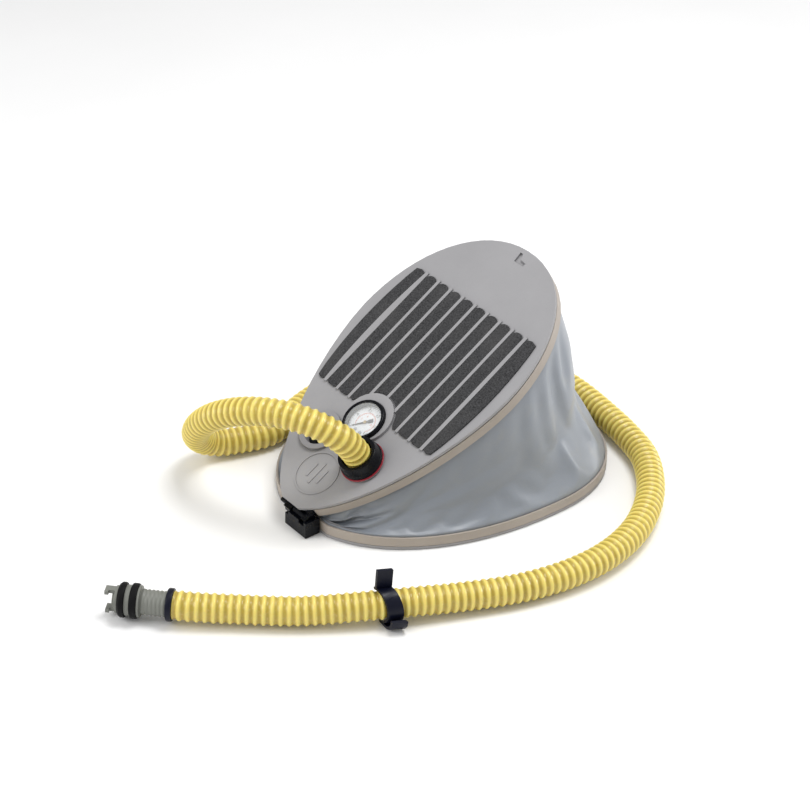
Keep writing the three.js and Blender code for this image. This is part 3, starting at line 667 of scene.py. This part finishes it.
def add_spring():
    """The conical wire coil inside the bellows, on an arc about the hinge."""
    shares = np.linspace(0, 1, SPRING_TURNS * 40 + 1)
    live_turns = SPRING_TURNS - 2 * SPRING_FLAT_TURNS
    level = np.clip((shares * SPRING_TURNS - SPRING_FLAT_TURNS) / live_turns, 0, 1)
    lift = np.radians(SPRING_LIFT_FROM + SPRING_LIFT * level)
    radius = (SPRING_LOW + (SPRING_HIGH - SPRING_LOW) * shares) * MM
    turn = 2 * np.pi * SPRING_TURNS * shares
    out = (SPRING_X + 5) * MM + radius * np.cos(turn)
    line = np.stack([HINGE_X + out * np.cos(lift), radius * np.sin(turn), HINGE_Z + out * np.sin(lift)], axis=1)
    rings = sweep_rings(line, np.full(len(line), SPRING_WIRE * MM), SPRING_SIDES)
    piece = mesh_object("spring_wire", *tube_mesh(rings))
    bend_by(piece)
    finish(piece, "steel")
    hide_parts("return_spring")


# ---------------------------------------------------------------- dial print
DIAL_START, DIAL_END = -135, 135  # degrees clockwise from the top
DIAL_TENTH = (DIAL_END - DIAL_START) / 5


def dial_frame(radius, degrees, height):
    """A point on the dial, by its angle clockwise from the top, which points to the heel."""
    turn = math.radians(degrees)
    return pedal_point(GAUGE_U + radius * math.cos(turn), -radius * math.sin(turn), height)


def dial_bars(name, bars, slot_name, height=DIAL_H + 0.05):
    """Flat printed strokes, each from one radius to another at an angle, with a width."""
    vertices, faces = [], []
    for inner, outer, degrees, width in bars:
        for radius, side in ((inner, -1), (outer, -1), (outer, 1), (inner, 1)):
            slip = math.degrees(side * width / 2 / radius)
            vertices.append(dial_frame(radius, degrees + slip, height))
        first = len(vertices) - 4
        faces.append((first, first + 3, first + 2, first + 1))
    piece = mesh_object(name, vertices, faces, smooth=False)
    finish(piece, "dial_white", slot_name)
    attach(piece, "pedal")


def dial_arc(name, inner, outer, start, end, slot_name):
    """A printed arc, as a run of short touching strokes."""
    steps = 90
    width = math.radians((end - start) / steps) * (inner + outer) / 2 * 1.02
    bars = [(inner, outer, start + (end - start) * (k + 0.5) / steps, width) for k in range(steps)]
    dial_bars(name, bars, slot_name, DIAL_H + 0.04)


def dial_number(name, text, radius, degrees, size, slot_name):
    """A printed number, upright for a reader at the hinge end."""
    curve = bpy.data.curves.new(name, "FONT")
    curve.body = text
    curve.size = size
    curve.align_x = "CENTER"
    curve.align_y = "CENTER"
    curve.offset = 0.02
    curve.extrude = 0.01
    holder = bpy.data.objects.new(name + "_curve", curve)
    bpy.context.scene.collection.objects.link(holder)
    bpy.context.view_layer.update()
    mesh = bpy.data.meshes.new_from_object(holder.evaluated_get(bpy.context.evaluated_depsgraph_get()))
    bpy.data.objects.remove(holder)
    turn = math.radians(degrees)
    place = Matrix.Translation((GAUGE_U + radius * math.cos(turn), -radius * math.sin(turn), DIAL_H + 0.05))
    mesh.transform(PEDAL_MATRIX @ place @ Matrix.Rotation(-math.pi / 2, 4, "Z"))
    piece = bpy.data.objects.new(name, mesh)
    bpy.context.scene.collection.objects.link(piece)
    finish(piece, "dial_white", slot_name)
    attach(piece, "pedal")


def add_dial_print():
    """Two scales from lower left to lower right: a black outer one and an orange inner one."""
    tenths = [DIAL_START + DIAL_TENTH * k for k in range(6)]
    dial_bars("dial_main_ticks", [(13.0, 15.3, a, 0.6) for a in tenths], "dial_black")
    fine = [DIAL_START + DIAL_TENTH / 5 * k for k in range(26) if k % 5]
    dial_bars("dial_fine_ticks", [(14.1, 15.3, a, 0.25) for a in fine], "dial_black")
    dial_arc("dial_outer_arc", 15.15, 15.45, DIAL_START, DIAL_END, "dial_black")
    dial_arc("dial_inner_arc", 9.3, 9.75, DIAL_START, DIAL_END, "dial_orange")
    inner = [DIAL_START + DIAL_TENTH / 4 * k for k in range(21)]
    dial_bars("dial_inner_ticks", [(8.2, 9.5, a, 0.3) for a in inner], "dial_orange")
    for k, text in enumerate(["0", "0,1", "0,2", "0,3", "0,4", "0,5"]):
        dial_number(f"dial_outer_number_{k}", text, 11.6, tenths[k], 3.1, "dial_black")
    for k, text in enumerate(["3", "6", "9", "12"]):
        dial_number(f"dial_inner_number_{k}", text, 6.2, tenths[k + 1], 2.6, "dial_orange")


# ---------------------------------------------------------------- CAD nodes that show as they are
REPLACED = {"bellows", "air_hose_arch", "air_hose_run", "return_spring"}
EDGE_WIDTH = 0.35
EDGE_WIDTHS = {
    "base_plate": 0.7, "pedal_plate": 0.7, "base_clamp_band": 0.6, "pedal_clamp_band": 0.6,
    "hose_clip": 0.5, "hinge_block": 0.8, "hinge_leaf": 0.6, "gauge_lens": 0.15, "gauge_dial": 0.1,
    "gauge_needle": 0.1, "gauge_hub": 0.1, "adapter_body": 0.25,
}


def soften(node, width):
    """Rounds a CAD node's sharp edges and smooths its facets, by modifiers only."""
    bpy.context.view_layer.objects.active = node
    if node.data.has_custom_normals:
        bpy.ops.mesh.customdata_custom_splitnormals_clear()
    node.data.polygons.foreach_set("use_smooth", [True] * len(node.data.polygons))
    modify(node, "weld", "WELD", merge_threshold=0.00002)
    modify(node, "edges", "BEVEL", width=width * MM, segments=2, limit_method="ANGLE",
           angle_limit=math.radians(32), harden_normals=True, use_clamp_overlap=True)
    modify(node, "normals", "WEIGHTED_NORMAL", keep_sharp=True)


def dress_nodes():
    """Every CAD node that shows gets soft edges and its slot's material."""
    slots = {row["node"]: row["material_slot"] for row in frame["record"]["subparts"]}
    for name, node in frame["nodes"].items():
        if name in REPLACED:
            continue
        soften(node, EDGE_WIDTHS.get(name, EDGE_WIDTH))
        look = "tread_rubber" if name.startswith("tread_strip") else slots[name]
        node.data.materials.clear()
        node.data.materials.append(MATERIALS[look])


add_camera()
add_studio()
add_hose()
add_bellows()
add_spring()
add_dial_print()
dress_nodes()
